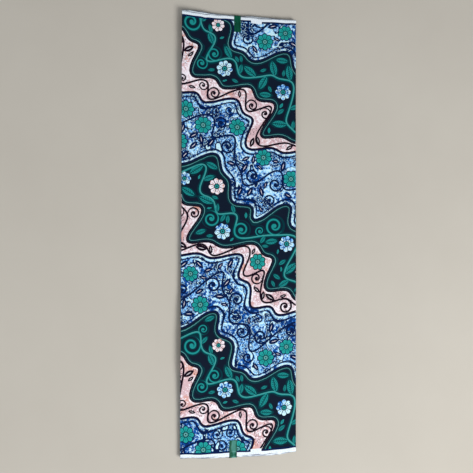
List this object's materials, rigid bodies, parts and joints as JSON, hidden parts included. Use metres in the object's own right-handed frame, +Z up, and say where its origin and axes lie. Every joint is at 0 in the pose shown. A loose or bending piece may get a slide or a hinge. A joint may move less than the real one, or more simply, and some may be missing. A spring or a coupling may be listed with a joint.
{
  "type": "folded wax print cloth",
  "caption": "Six-yard length of wax print cotton, folded back and forth into a long flat pack and sealed with green tape at both selvedge ends.",
  "frame": {"origin": "middle of the rectangle that the pack covers, on the surface that it lies on", "axes": "+X across a leaf, towards its cut end; +Y from the foot selvedges to the head selvedges; +Z up, out of the top leaf"},
  "size_m": [0.306, 1.1526, 0.0118],
  "materials": {
    "printed_cotton": "plain-woven cotton, wax printed in blues, blush, green and navy",
    "cotton_edges": "folds and white selvedges of the hidden leaves",
    "green_tape": "satin"
  },
  "bodies": {
    "root": {"top_leaf": "printed_cotton", "inner_leaves": "cotton_edges", "bottom_leaf": "printed_cotton", "head_tape": "green_tape", "foot_tape": "green_tape"}
  },
  "joints": []
}
